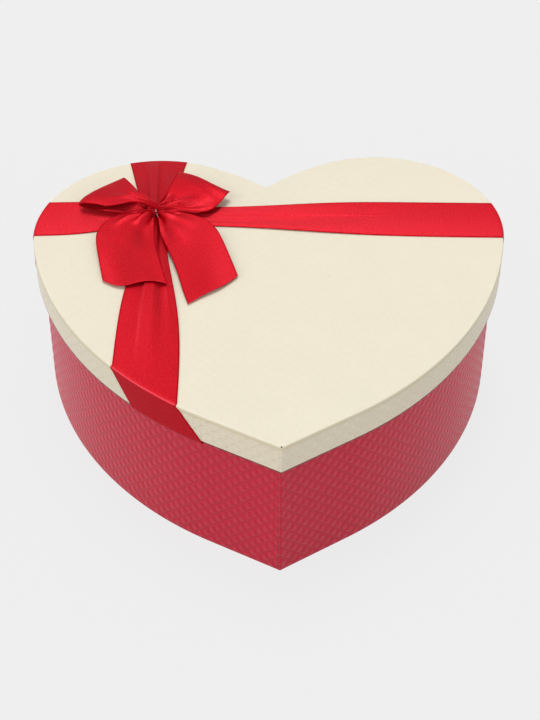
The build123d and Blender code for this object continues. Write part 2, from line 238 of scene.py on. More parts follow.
NOTCH_LENGTH = NOTCH_RADIUS * (atan2(NOTCH_Y - NOTCH_ARC[1], -NOTCH_ARC[0]) - LOBE_SHOULDER)
HALF_LENGTH = TIP_RUN + SIDE_LENGTH + LOBE_LENGTH + NOTCH_LENGTH


def outline(distance, inset, side):
    """Points of the heart moved inward by inset. distance runs from the tip (0) to the notch
    (HALF_LENGTH), measured on the lid's face, on the right (1) or left (-1) half."""
    distance, inset = np.broadcast_arrays(np.asarray(distance, float), np.asarray(inset, float))
    run_x = SIDE_ARC[0] + (SIDE_RADIUS - inset) * cos(RUN_START)
    run_y = SIDE_ARC[1] + (SIDE_RADIUS - inset) * sin(RUN_START)
    tip_y = run_y + run_x * cos(RUN_START) / sin(RUN_START)
    at_notch = pi / 2 + np.arcsin(NOTCH_ARC[0] / (NOTCH_RADIUS - inset))
    share = distance / TIP_RUN
    x = run_x * share
    y = tip_y + (run_y - tip_y) * share
    start = TIP_RUN
    arcs = (
        (SIDE_ARC, SIDE_RADIUS, RUN_START, LOBE_END, SIDE_LENGTH),
        ((LOBE_X, LOBE_Y), LOBE_RADIUS, LOBE_END, LOBE_SHOULDER, LOBE_LENGTH),
        (NOTCH_ARC, NOTCH_RADIUS, LOBE_SHOULDER, at_notch, NOTCH_LENGTH),
    )
    for middle, radius, first, last, length in arcs:
        share = (distance - start) / length
        angle = first + (last - first) * share
        x = np.where(share > 0, middle[0] + (radius - inset) * np.cos(angle), x)
        y = np.where(share > 0, middle[1] + (radius - inset) * np.sin(angle), y)
        start += length
    return np.stack([side * x, y], -1)


# Meshes

def add_object(name, data):
    added = bpy.data.objects.new(name, data)
    bpy.context.scene.collection.objects.link(added)
    return added


def path_length(points):
    """Length of a path up to each of its points."""
    return np.concatenate([[0], np.cumsum(np.linalg.norm(np.diff(points, axis=0), axis=1))])


def grid_mesh(name, points, uv, flip=False):
    """A sheet of quads through an array of points (rows, columns, 3), with a map in millimetres."""
    rows, columns = points.shape[:2]
    index = np.arange(rows * columns).reshape(rows, columns)
    quads = np.stack([index[:-1, :-1], index[:-1, 1:], index[1:, 1:], index[1:, :-1]], -1)
    quads = quads.reshape(-1, 4)
    if flip:
        quads = quads[:, ::-1]
    mesh = bpy.data.meshes.new(name)
    mesh.from_pydata((points.reshape(-1, 3) * MM).tolist(), [], quads.tolist())
    layer = mesh.uv_layers.new(name="Sheet")
    layer.data.foreach_set("uv", uv.reshape(-1, 2)[quads.ravel()].astype(np.float32).ravel())
    mesh.polygons.foreach_set("use_smooth", [True] * len(quads))
    mesh.update()
    return add_object(name, mesh)


def thicken(piece, thickness, offset):
    solidify = piece.modifiers.new("thickness", "SOLIDIFY")
    solidify.thickness = thickness * MM
    solidify.offset = offset


def place(piece, body, slot, material, *nodes):
    """Gives a piece its material and the body that carries it, and hides the solids that it
    stands for.
    """
    piece.data.materials.append(material)
    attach(piece, body)
    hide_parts(*nodes)


def level_row(flat, level):
    """A row of points at one level."""
    return np.column_stack([flat, np.full(len(flat), level)])


def smooth_step(low, high, x):
    t = np.clip((x - low) / (high - low), 0, 1)
    return t * t * (3 - 2 * t)


def spline(points, count):
    """Evenly spaced points on a smooth curve through the given ones."""
    points = np.asarray(points, float)
    ends = np.vstack([2 * points[0] - points[1], points, 2 * points[-1] - points[-2]])
    t = np.linspace(0, 1, 24, endpoint=False)[:, None]
    pieces = []
    for a, b, c, d in zip(ends, ends[1:], ends[2:], ends[3:]):
        bend = (2 * a - 5 * b + 4 * c - d) * t**2 + (3 * b - a - 3 * c + d) * t**3
        pieces.append(0.5 * (2 * b + (c - a) * t + bend))
    dense = np.vstack(pieces + [points[-1:]])
    length = path_length(dense)
    at = np.linspace(0, length[-1], count)
    return np.stack([np.interp(at, length, dense[:, k]) for k in range(dense.shape[1])], -1)


def sheet_normals(points):
    normal = np.cross(np.gradient(points, axis=0), np.gradient(points, axis=1))
    return normal / (np.linalg.norm(normal, axis=-1, keepdims=True) + 1e-9)


# Nodes

def add_node(tree, kind, inputs=(), **settings):
    """A shader node with its settings, and its inputs as values or as other nodes' outputs."""
    node = tree.nodes.new(kind)
    for key, value in settings.items():
        setattr(node, key, value)
    for key, value in dict(inputs).items():
        if isinstance(value, bpy.types.NodeSocket):
            tree.links.new(value, node.inputs[key])
        else:
            node.inputs[key].default_value = value
    return node


def calc(tree, operation, first, second=0.0, third=0.0):
    node = add_node(tree, "ShaderNodeMath", {0: first, 1: second, 2: third}, operation=operation)
    return node.outputs[0]


def scaled(tree, value, factor, added):
    """value * factor + added"""
    return calc(tree, "MULTIPLY_ADD", value, factor, added)


def ramp(tree, value, low, high, start=0.0, end=1.0):
    """Value between low and high, smoothly mapped to start and end."""
    node = add_node(
        tree,
        "ShaderNodeMapRange",
        {"Value": value, "From Min": low, "From Max": high, "To Min": start, "To Max": end},
        interpolation_type="SMOOTHSTEP",
    )
    return node.outputs["Result"]


def noise(tree, vector, scale, detail=3.0, roughness=0.5):
    node = add_node(
        tree,
        "ShaderNodeTexNoise",
        {"Vector": vector, "Scale": scale, "Detail": detail, "Roughness": roughness},
    )
    return node.outputs["Fac"]


def blend(tree, factor, first, second):
    """The first colour, or a node's output, where factor is low and the second where it is high."""
    node = add_node(tree, "ShaderNodeMix", {"Factor": factor}, data_type="RGBA")
    colors = [socket for socket in node.inputs if socket.type == "RGBA"]
    if isinstance(first, bpy.types.NodeSocket):
        tree.links.new(first, colors[0])
    else:
        colors[0].default_value = (*first, 1.0)
    colors[1].default_value = (*second, 1.0)
    return next(socket for socket in node.outputs if socket.type == "RGBA")


def mix_shaders(tree, share, first, second):
    node = add_node(tree, "ShaderNodeMixShader", {0: share, 1: first, 2: second})
    return node.outputs["Shader"]


def object_place(tree):
    return add_node(tree, "ShaderNodeTexCoord").outputs["Object"]


def level_ramp(tree, position, low, high, start, end):
    """A ramp between two levels in millimetres."""
    level = add_node(tree, "ShaderNodeSeparateXYZ", {"Vector": position}).outputs["Z"]
    return ramp(tree, level, low * MM, high * MM, start, end)


def grey(level):
    return (level, level, level, 1.0)


def shade(color, factor):
    return tuple(c * factor for c in color)


def new_material(name, **values):
    """A material with its shader, whose constant values are given by the names of its inputs."""
    material = bpy.data.materials.new(name)
    material.use_nodes = True
    shader = material.node_tree.nodes["Principled BSDF"]
    for key, value in values.items():
        shader.inputs[key.replace("_", " ")].default_value = value
    return material, material.node_tree, shader


def link_look(tree, shader, paint, roughness, height, distance=MM):
    """Gives a shader its colour, its roughness and its fine relief."""
    bump = add_node(tree, "ShaderNodeBump", {"Height": height, "Distance": distance})
    look = {"Base Color": paint, "Roughness": roughness, "Normal": bump.outputs["Normal"]}
    for key, value in look.items():
        tree.links.new(value, shader.inputs[key])


def embossed_paper(name, color, mapped, relief, groove, line_shade, coat, marks=()):
    """Cover paper with slanting rows of pillows, steep on one side, between fine lines. The
    pattern lies on the sheet's own map, in millimetres, or on the object's X and Y. relief is the
    height that the material adds to the pillows, groove the depth of the lines, below zero where
    they stand out, and line_shade how bright the lines are painted beside the paper: darker as
    painted shade in sunk lines, lighter as painted light on raised ones. coat is the share of a
    thin clear coat, and marks are small marks on the paper with their colours, some of them
    painted shade. The map runs below zero on the left half."""
    material, tree, shader = new_material(
        name, Specular_IOR_Level=0.22, Coat_Weight=coat, Coat_Roughness=0.3
    )
    position = object_place(tree)
    spot = add_node(tree, "ShaderNodeUVMap", uv_map="Sheet").outputs["UV"] if mapped else position
    scale = 1.0 if mapped else 1 / MM
    split = add_node(tree, "ShaderNodeSeparateXYZ", {"Vector": spot})
    x, y = calc(tree, "ABSOLUTE", split.outputs["X"]), split.outputs["Y"]
    slant_cos = cos(EMBOSS_SLANT) * scale / EMBOSS_PITCH
    slant_sin = sin(EMBOSS_SLANT) * scale / EMBOSS_PITCH
    along = scaled(tree, x, slant_cos, calc(tree, "MULTIPLY", y, slant_sin))
    over = scaled(tree, x, -slant_sin, calc(tree, "MULTIPLY", y, slant_cos))
    beside = calc(tree, "SUBTRACT", calc(tree, "FRACT", over), 0.5)
    from_row = calc(tree, "ABSOLUTE", beside)
    line = ramp(tree, calc(tree, "SUBTRACT", 0.5, from_row), *LINE_HALF, 1.0, 0.0)
    bowed = calc(tree, "MULTIPLY", calc(tree, "MULTIPLY", from_row, from_row), PILLOW_BOW)
    shift = scaled(tree, beside, PILLOW_LEAN, bowed)
    step = calc(tree, "FRACT", calc(tree, "ADD", along, shift))
    fall = ramp(tree, step, *PILLOW_FALL, 1.0, 0.0)
    swell = calc(tree, "ADD", fall, ramp(tree, step, *PILLOW_RISE))
    pillow = calc(tree, "MULTIPLY", swell, ramp(tree, from_row, *PILLOW_ENDS, 1.0, 0.0))
    fibre = noise(tree, position, 900.0, 4.0, 0.6)
    cloud = noise(tree, position, 28.0, 3.0)
    tone = scaled(tree, cloud, 0.35, calc(tree, "MULTIPLY", fibre, 0.35))
    paint = blend(tree, tone, shade(color, 0.92), shade(color, 1.08))
    # Sunk lines painted darker are painted shade, raised lines painted lighter are painted light.
    paint = blend(tree, line, paint, shade(color, line_shade))
    for mark, mark_color in marks:
        paint = blend(tree, mark(tree, split, position), paint, mark_color)
    height = calc(tree, "MULTIPLY", line, -groove)
    height = scaled(tree, fibre, groove * 0.5, height)
    height = scaled(tree, pillow, relief, height)
    link_look(tree, shader, paint, ramp(tree, fibre, 0.3, 0.7, 0.38, 0.54), height)
    return material


def seam_gap_shade(tree, sheet, position):
    """Painted shade of a narrow gap beside the lapped edge at the tip, broken here and there and
    strongest low down.
    """
    up = sheet.outputs["Y"]
    from_gap = calc(tree, "ADD", sheet.outputs["X"], SEAM_LAP + SEAM_GAP_PLACE)
    gap = ramp(tree, calc(tree, "ABSOLUTE", from_gap), *SEAM_GAP, 1.0, 0.0)
    spot = add_node(tree, "ShaderNodeCombineXYZ", {"X": up})
    broken = ramp(tree, noise(tree, spot.outputs["Vector"], 0.25, 2.0), 0.35, 0.6, 0.3, 1.0)
    low = ramp(tree, up, *SEAM_LOW, 1.0, 0.5)
    return calc(tree, "MULTIPLY", gap, calc(tree, "MULTIPLY", broken, low))


def turned_edge(tree, sheet, position):
    """The edge of the top paper that is turned down over the skirt."""
    low, high = (LID_TOP - down for down in TURNED_EDGE)
    return level_ramp(tree, position, low, high, 0.6, 0.0)


def rim_fold_shade(tree, sheet, position):
    """Painted shade: a thin dark line along the fold at the bottom of the skirt."""
    low, high = (SKIRT_BOTTOM + up for up in RIM_FOLD)
    return level_ramp(tree, position, low, high, 1.0, 0.0)


def pinhole_shade(tree, sheet, position):
    """Painted shade of a pinhole at the tip, where the folded papers don't quite meet."""
    middle = (0.0, (TIP_Y + PINHOLE_BACK) * MM, (LID_TOP - PINHOLE_DROP) * MM)
    away = add_node(tree, "ShaderNodeVectorMath", {0: position, 1: middle}, operation="DISTANCE")
    inner, outer = (radius * MM for radius in PINHOLE_RADIUS)
    return ramp(tree, away.outputs["Value"], inner, outer, 1.0, 0.0)


def crease_highlight(tree):
    """Painted highlight along the fold where a band is creased over the lid's edge."""
    position = object_place(tree)
    below = level_ramp(tree, position, *(LID_TOP + up for up in CREASE_BELOW), 0.0, 1.0)
    above = level_ramp(tree, position, *(LID_TOP + up for up in CREASE_ABOVE), 1.0, 0.0)
    return calc(tree, "MULTIPLY", above, below)


def satin(name, color):
    """Polyester satin: long floats along the ribbon, so the gloss is drawn out across it. Some
    light passes through, and the floats have a pale gloss of their own."""
    material, tree, shader = new_material(
        name, Metallic=0.6, Specular_IOR_Level=0.0, Anisotropic=0.88
    )
    spot = add_node(tree, "ShaderNodeUVMap", uv_map="Sheet").outputs["UV"]
    drawn = add_node(tree, "ShaderNodeMapping", {"Vector": spot, "Scale": (3.2, 1.1, 1.0)})
    floats = noise(tree, drawn.outputs["Vector"], 1.0, 4.0, 0.6)
    split = add_node(tree, "ShaderNodeSeparateXYZ", {"Vector": spot})
    aside, along = split.outputs["X"], split.outputs["Y"]
    slanted = scaled(tree, along, 14.0, calc(tree, "MULTIPLY", aside, 5.0))
    twill = calc(tree, "SINE", slanted)
    cloud = noise(tree, spot, 0.05, 2.0)
    grain = noise(tree, spot, 0.8, 2.0, 0.7)
    woven_and_shade = ramp(tree, calc(tree, "ABSOLUTE", aside), *WOVEN_EDGE)
    tone = scaled(tree, floats, 0.5, scaled(tree, cloud, 0.2, -0.05))
    tone = scaled(tree, grain, 0.9, tone)
    paint = blend(tree, tone, shade(color, 0.84), shade(color, 1.12))
    # The woven edges are painted darker, partly their own tone and partly painted shade along the
    # ribbon's edges.
    paint = blend(tree, calc(tree, "MULTIPLY", woven_and_shade, 0.2), paint, shade(color, 0.3))
    # A painted highlight along the bands' fold over the lid's edge.
    paint = blend(tree, crease_highlight(tree), paint, CREASE_HIGHLIGHT)
    tangent = add_node(tree, "ShaderNodeTangent", direction_type="UV_MAP", uv_map="Sheet")
    tree.links.new(tangent.outputs["Tangent"], shader.inputs["Tangent"])
    height = scaled(tree, twill, 0.010, calc(tree, "MULTIPLY", floats, 0.09))
    height = scaled(tree, woven_and_shade, 0.05, height)
    height = scaled(tree, grain, 0.05, height)
    link_look(tree, shader, paint, ramp(tree, floats, 0.25, 0.75, 0.34, 0.46), height)
    glow = add_node(tree, "ShaderNodeBsdfTranslucent", {"Color": (*color, 1.0)})
    cloth = mix_shaders(tree, SATIN_GLOW, shader.outputs["BSDF"], glow.outputs["BSDF"])
    glint = calc(tree, "SUBTRACT", ramp(tree, grain, 0.35, 0.65, 0.45, 1.0), woven_and_shade)
    gloss = add_node(
        tree,
        "ShaderNodeBsdfAnisotropic",
        {
            "Color": blend(tree, glint, (0.0, 0.0, 0.0), GLINT_PINK),
            "Roughness": 0.45,
            "Anisotropy": -0.6,
            "Tangent": tangent.outputs["Tangent"],
        },
    )
    glossy = mix_shaders(tree, GLINT_SHARE, cloth, gloss.outputs["BSDF"])
    tree.links.new(glossy, tree.nodes["Material Output"].inputs["Surface"])
    return material


def plain_paper(name, color, rough_low, rough_high, fleck):
    """Uncoated paper or board: soft clouds, fibres and a few flecks."""
    material, tree, shader = new_material(name, Specular_IOR_Level=0.25)
    position = object_place(tree)
    cloud = noise(tree, position, 30.0, 4.0)
    fibre = noise(tree, position, 1100.0, 4.0, 0.65)
    specks = ramp(tree, noise(tree, position, 420.0, 2.0, 0.4), 0.66, 0.72, 0.0, fleck)
    tone = scaled(tree, cloud, 0.5, calc(tree, "MULTIPLY", fibre, 0.5))
    tone = calc(tree, "SUBTRACT", tone, specks)
    paint = blend(tree, tone, shade(color, 0.82), shade(color, 1.08))
    roughness = ramp(tree, fibre, 0.3, 0.7, rough_low, rough_high)
    link_look(tree, shader, paint, roughness, fibre, 0.05 * MM)
    return material


def bright_wire(name, color):
    """Bright metal, a little worn."""
    material, tree, shader = new_material(name, Metallic=1.0)
    worn = noise(tree, object_place(tree), 1500.0, 3.0)
    paint = blend(tree, worn, shade(color, 0.8), shade(color, 1.1))
    link_look(tree, shader, paint, ramp(tree, worn, 0.3, 0.7, 0.15, 0.35), worn, 0.02 * MM)
    return material


# Cover papers

def pillows(along, up, height):
    """Relief of the embossed paper at a place on the sheet."""
    a = (along * cos(EMBOSS_SLANT) + up * sin(EMBOSS_SLANT)) / EMBOSS_PITCH
    b = (up * cos(EMBOSS_SLANT) - along * sin(EMBOSS_SLANT)) / EMBOSS_PITCH
    beside = b - np.floor(b) - 0.5
    from_row = np.abs(beside)
    shifted = a + PILLOW_BOW * beside**2 + PILLOW_LEAN * beside
    step = shifted - np.floor(shifted)
    swell = 1 - smooth_step(*PILLOW_FALL, step) + smooth_step(*PILLOW_RISE, step)
    return height * swell * (1 - smooth_step(*PILLOW_ENDS, from_row))


def corner(inset, level, turn_inset, turn_level):
    """Quarter round of a section, from the upright face to the level one."""
    return [
        (
            inset + turn_inset * (1 - cos(t)) * FOLD_RADIUS,
            level + turn_level * (1 - sin(t)) * FOLD_RADIUS,
        )
        for t in np.linspace(0, pi / 2, 4)
    ]


def straight(start, end, step):
    """Points between two ends, without the ends themselves."""
    count = max(2, int(round(hypot(end[0] - start[0], end[1] - start[1]) / step)))
    return [
        (start[0] + (end[0] - start[0]) * k / count, start[1] + (end[1] - start[1]) * k / count)
        for k in range(1, count)
    ]


def base_section():
    """Red paper: from under the base, up the wall, over the rim and down the inside."""
    points = [(FLAP_INSET, 0.0)]
    points += straight((FLAP_INSET, 0.0), (BASE_FACE + FOLD_RADIUS, 0.0), 2 * WALL_STEP)
    points += corner(BASE_FACE, 0.0, 1, 1)[::-1]
    points += straight((BASE_FACE, FOLD_RADIUS), (BASE_FACE, RIM - FOLD_RADIUS), WALL_STEP)
    points += corner(BASE_FACE, RIM, 1, -1)
    points += corner(BASE_INNER, RIM, -1, -1)[::-1]
    points += straight((BASE_INNER, RIM - FOLD_RADIUS), (BASE_INNER, TURN_IN_BOTTOM), 2 * WALL_STEP)
    points += [(BASE_INNER, TURN_IN_BOTTOM)]
    return np.array(points)


def lid_section():
    """Cream paper: down the skirt, round its rim and up the inside."""
    top = LID_TOP - FOLD_RADIUS
    points = [(0.0, top)]
    points += straight((0.0, top), (0.0, SKIRT_BOTTOM + FOLD_RADIUS), WALL_STEP)
    points += corner(0.0, SKIRT_BOTTOM, 1, 1)
    points += corner(LID_INNER, SKIRT_BOTTOM, -1, 1)[::-1]
    turned_in = (LID_INNER, SKIRT_BOTTOM + FOLD_RADIUS)
    points += straight(turned_in, (LID_INNER, LID_BOARD_UNDER), 2 * WALL_STEP)
    points += [(LID_INNER, LID_BOARD_UNDER)]
    return np.array(points)


def face_weight(section, face):
    """Where a section is the outer face, fading out before the folds at its two ends."""
    level = section[:, 1]
    on_face = np.abs(section[:, 0] - face) < 1e-6
    low, high = level[on_face].min(), level[on_face].max()
    fade = 1 - smooth_step(high - FACE_FADE, high, level)
    return on_face * smooth_step(low, low + FACE_FADE, level) * fade


def cover(name, section, face, side, relief, outward):
    """One half of a cover paper. face is the inset of its outer face and relief the height of the
    pillows there, outward is 1 where the section runs up that face and -1 where it runs down."""
    count = int(HALF_LENGTH / WALL_STEP)
    distance = np.linspace(0, HALF_LENGTH, count)[None, :]
    on_face = face_weight(section, face)[:, None]
    inset = section[:, None, 0] + 0 * distance
    if side > 0:
        inset = inset - on_face * SEAM_RISE * (1 - smooth_step(0.0, SEAM_FADE, distance))
    flat = outline(distance, inset, side)
    points = np.dstack([flat, np.repeat(section[:, 1:2], count, 1)])
    along, up = np.broadcast_arrays(distance, outward * path_length(section)[:, None])
    normal = sheet_normals(points) * -side * outward
    swell = pillows(along, up, relief) * on_face
    points = points + normal * swell[..., None]
    points[..., 0] = side * np.maximum(side * points[..., 0], 0.0)
    along = side * along
    if side > 0:
        lap_inset = section[:, None, 0] - on_face * SEAM_RISE
        lap = outline(np.array([[SEAM_LAP, SEAM_LAP / 2]]), lap_inset, -1)
        lap = np.dstack([lap, np.repeat(section[:, 1:2], 2, 1)])
        points = np.hstack([lap, points])
        along = np.hstack([np.broadcast_to([[-0.01, 0.0]], (len(section), 2)), along])
        up = np.hstack([up[:, :2], up])
    return grid_mesh(name, points, np.dstack([along, up]), flip=side * outward < 0)


def lid_top_sheet(name):
    """The top paper, with its edge turned down a little way over the skirt's paper."""
    count = int(HALF_LENGTH / TOP_STEP)
    q = np.linspace(0, 1, count)
    rim = outline(q * HALF_LENGTH, FOLD_RADIUS, 1)
    axis_y = rim[0, 1] + (rim[-1, 1] - rim[0, 1]) * q
    r = np.linspace(0, 1, int(LID_WIDTH / 2 / TOP_STEP))
    x = rim[None, :, 0] * r[:, None]
    y = axis_y[None] + (rim[None, :, 1] - axis_y[None]) * r[:, None]
    rows = [np.dstack([x, y, LID_TOP + pillows(x, y, TOP_RELIEF) - TOP_RELIEF])]
    turn = [
        (FOLD_RADIUS * (1 - sin(angle)), FOLD_RADIUS * (1 - cos(angle)))
        for angle in np.linspace(0, pi / 2, 6)[1:]
    ]
    turn += [(-TOP_TURN_OUT, down) for down in np.linspace(FOLD_RADIUS + 0.3, TOP_TURN_DOWN, 4)]
    for inset, down in turn:
        flat = outline(q * HALF_LENGTH, inset, 1)
        rows.append(level_row(flat, LID_TOP - down)[None])
    right = np.vstack(rows)
    left = right[::-1].copy()
    left[..., 0] *= -1
    points = np.vstack([left, right[1:]])
    return grid_mesh(name, points, points[..., :2].copy(), flip=True)


# Ribbon bands

def outline_distance(point, side):
    """How far along the half outline a point of the edge lies."""
    distance = np.linspace(0, HALF_LENGTH, 4000)
    gap = np.linalg.norm(outline(distance, 0.0, side) - np.asarray(point)[None], axis=1)
    return distance[gap.argmin()]


def widening(t, power, hold):
    """Share of a band's widening at a share of the way from the knot to the lid's edge."""
    opened = t**power
    return opened / (opened + hold * (1 - t) ** power)


def strip(v, low, low_soft, high, high_soft):
    """1 between two places across a band, with a soft or a crisp step at each."""
    return smooth_step(low - low_soft, low + low_soft, v) * (
        1 - smooth_step(high - high_soft, high + high_soft, v)
    )


def band_arm(ends, side, waist, opening, sway, pleats, wave, over):
    """Rows of points of one arm of a band, from the knot over the lid's edge and under its rim.
    ends are the fold's two ends on the lid's edge, opening shapes how the band widens and sway is
    how far it bends sideways. pleats gives each raised strip's two steps across the band with
    their softness, its height and its reach. wave is how far the band stands off the lid at most,
    over how far it is lifted at the knot by what it crosses."""
    start, stop = (outline_distance(end, side) for end in ends)
    v = np.linspace(-1, 1, BAND_COLUMNS)
    at = start + (stop - start) * (v + 1) / 2
    edge = outline(at, EDGE_RADIUS, side)
    middle = edge[len(v) // 2]
    reach = np.linalg.norm(middle - KNOT)
    heading = (middle - KNOT) / reach
    aside = edge[-1] - edge[0]
    aside = aside - heading * aside.dot(heading)
    aside = aside / np.linalg.norm(aside)
    rows = []
    for t in np.linspace(0, 1, int(reach / BAND_STEP)):
        share = widening(t, *opening)
        offset = (1 - share) * aside[None] * v[:, None] * waist / 2 + share * (edge - middle)
        flat = KNOT + heading * reach * t + offset + aside * sway * sin(pi * t)
        lift = over * (1 - smooth_step(*OVER_FADE, t)) * np.ones(len(v))
        for *steps, height, far in pleats:
            lift += height * (1 - smooth_step(0.3 * far, far, t)) * strip(v, *steps)
        lift += wave * sin(pi * t) ** 2 * (0.5 + 0.5 * np.cos(pi * (v * 1.3 + 2.2 * t)))
        lift *= 1 - smooth_step(*EDGE_SETTLE, t)
        rows.append(np.column_stack([flat, LID_TOP + RIBBON_LIFT + lift]))
    mid = (start + stop) / 2
    tangent = outline(mid + 0.5, 0.0, side) - outline(mid - 0.5, 0.0, side)
    cosine = float(tangent.dot(heading))
    drift = cosine / sqrt(1 - cosine**2)
    round_out = EDGE_RADIUS + RIBBON_LIFT
    for angle in np.linspace(0, pi / 2, 8)[1:]:
        flat = outline(at, EDGE_RADIUS - round_out * sin(angle), side)
        rows.append(level_row(flat, LID_TOP - EDGE_RADIUS + round_out * cos(angle)))
    for depth in np.linspace(EDGE_RADIUS, LID_TOP - SKIRT_BOTTOM, 14)[1:]:
        rows.append(level_row(outline(at + drift * depth, -RIBBON_LIFT, side), LID_TOP - depth))
    last = at + drift * (LID_TOP - SKIRT_BOTTOM)
    under = LID_INNER + 2 * RIBBON_LIFT
    for angle in np.linspace(0, pi, 9)[1:]:
        flat = outline(last, -RIBBON_LIFT + under * (1 - cos(angle)) / 2, side)
        rows.append(level_row(flat, SKIRT_BOTTOM - RIBBON_LIFT * sin(angle)))
    for height in np.linspace(0, TUCK, 5)[1:]:
        rows.append(level_row(outline(last, LID_INNER + RIBBON_LIFT, side), SKIRT_BOTTOM + height))
    return np.array(rows)


def ribbon_piece(name, points):
    """A piece of ribbon through rows of points, with its map across from the middle and along."""
    columns = points.shape[1]
    along = path_length(points[:, columns // 2])
    aside = np.linspace(-RIBBON_WIDTH / 2, RIBBON_WIDTH / 2, columns)
    piece = grid_mesh(name, points, np.dstack(np.broadcast_arrays(aside[None, :], along[:, None])))
    thicken(piece, RIBBON, 0.0)
    return piece


def cross_band():
    """The band from side to side, its left arm and then its right one."""
    half = RIBBON_WIDTH / 2
    arms = []
    for side, drift, pleats, wave in (
        (-1, LEFT_END_DRIFT, CROSS_LEFT_PLEATS, CROSS_WAVES[0]),
        (1, RIGHT_END_DRIFT, CROSS_RIGHT_PLEATS, CROSS_WAVES[1]),
    ):
        y = KNOT[1] + drift
        x = side * (LOBE_X + sqrt(LOBE_RADIUS**2 - (y - LOBE_Y) ** 2))
        ends = ((x, y + half), (x, y - half))
        arms.append(band_arm(ends, side, CROSS_WAIST, CROSS_OPENING, 0.0, pleats, wave, 0.0))
    left, right = arms
    return np.vstack([left[::-1], right[1:]])


def long_band():
    """The band from back to front over the left lobe, its back arm and then its front one."""
    half = RIBBON_WIDTH / 2
    back_x = KNOT[0] + BACK_END_DRIFT
    front_x = KNOT[0] + FRONT_END_DRIFT
    back_ends = [
        (x, LOBE_Y + sqrt(LOBE_RADIUS**2 - (-x - LOBE_X) ** 2))
        for x in (back_x - half, back_x + half)
    ]
    front_ends = [
        (x, SIDE_ARC[1] - sqrt(SIDE_RADIUS**2 - (-x - SIDE_ARC[0]) ** 2))
        for x in (front_x - half, front_x + half)
    ]
    back = band_arm(
        back_ends, -1, LONG_WAIST, BACK_OPENING, 0.0, BACK_PLEATS, LONG_WAVES[0], LONG_OVER
    )
    front = band_arm(
        front_ends, -1, LONG_WAIST, FRONT_OPENING, FRONT_SWAY, FRONT_PLEATS, LONG_WAVES[1],
        LONG_OVER,
    )
    return np.vstack([back[::-1], front[1:]])


# Bow. Points are given from the knot on the lid's top.

# Selvedges of the loops, from under the knot out along the lower ply, round the fold and back
LEFT_LOOP_FRONT = (
    (-1.5, -1.8, 3.2), (-20.5, 2.7, 1.8), (-37.5, 6.2, 1.8), (-46.5, 7.7, 3.2), (-48.2, 7.6, 5.2),
    (-44.5, 6.0, 7.2), (-34.0, 3.2, 8.2), (-26.5, 2.2, 9.2), (-19.5, 1.4, 10.6), (-12.5, 0.4, 10.9),
    (-7.0, -0.6, 10.2), (-1.0, -2.0, 9.0), (2.4, -2.8, 8.0),
)
LEFT_LOOP_BACK = (
    (-2.5, 2.2, 3.2), (-9.5, 14.7, 1.8), (-17.0, 25.2, 2.2), (-21.0, 29.2, 5.0), (-21.7, 29.7, 8.0),
    (-20.0, 27.2, 10.6), (-16.0, 20.7, 11.0), (-10.5, 12.2, 10.5), (-2.0, 2.4, 9.2),
    (2.2, 1.4, 8.3),
)
RIGHT_LOOP_FRONT = (
    (1.5, -1.8, 3.2), (15.5, 2.7, 1.6), (26.5, 5.6, 1.4), (35.0, 10.6, 1.8), (42.0, 15.4, 3.2),
    (46.2, 17.2, 5.6), (44.6, 13.6, 6.8), (40.5, 7.6, 5.2), (35.0, 1.2, 3.6), (28.0, -1.0, 3.0),
    (19.5, -0.6, 3.6), (12.5, -0.4, 5.2), (1.2, -1.6, 7.6),
)
RIGHT_LOOP_BACK = (
    (2.5, 2.2, 3.2), (7.0, 13.7, 1.8), (11.5, 25.7, 2.2), (13.5, 31.7, 4.5), (14.2, 34.2, 8.0),
    (13.5, 32.2, 10.6), (11.0, 24.7, 11.0), (7.5, 14.2, 10.5), (5.5, 8.7, 9.8), (1.2, 1.6, 7.9),
)
# Selvedges of the tails, from the knot to the cut end
LEFT_TAIL_LEFT = (
    (-3.0, -0.3, 5.0), (-18.5, -2.3, 5.2), (-30.0, -8.8, 4.8), (-35.7, -18.3, 4.2),
    (-36.5, -28.3, 3.5), (-34.0, -46.5, 2.6), (-31.3, -63.4, 1.9),
)
LEFT_TAIL_RIGHT = (
    (-1.0, -4.3, 4.0), (-1.1, -11.3, 4.6), (-1.1, -19.3, 4.6), (-0.7, -27.3, 4.3),
    (0.5, -36.3, 4.0), (3.5, -51.5, 3.6), (7.3, -69.3, 3.3),
)
RIGHT_TAIL_LEFT = (
    (0.5, -3.8, 3.6), (1.7, -13.3, 4.2), (3.0, -23.3, 3.8), (7.5, -37.5, 3.1), (12.5, -55.6, 2.4),
    (16.5, -74.4, 1.9), (19.5, -86.5, 1.6),
)
RIGHT_TAIL_RIGHT = (
    (3.0, -1.3, 4.6), (17.5, -3.2, 4.8), (28.3, -7.8, 4.6), (36.0, -16.4, 4.0), (40.4, -27.0, 3.3),
    (45.3, -44.7, 2.5), (49.5, -61.5, 1.9),
)
# How far the fold of a loop bulges from a straight line between the selvedges, and where across
LEFT_LOOP_BULGE = (-1.3, 3.7, 0.0)
LEFT_BULGE_PLACE = 0.27
RIGHT_LOOP_BULGE = (0.8, 3.5, 0.0)
RIGHT_BULGE_PLACE = 0.63
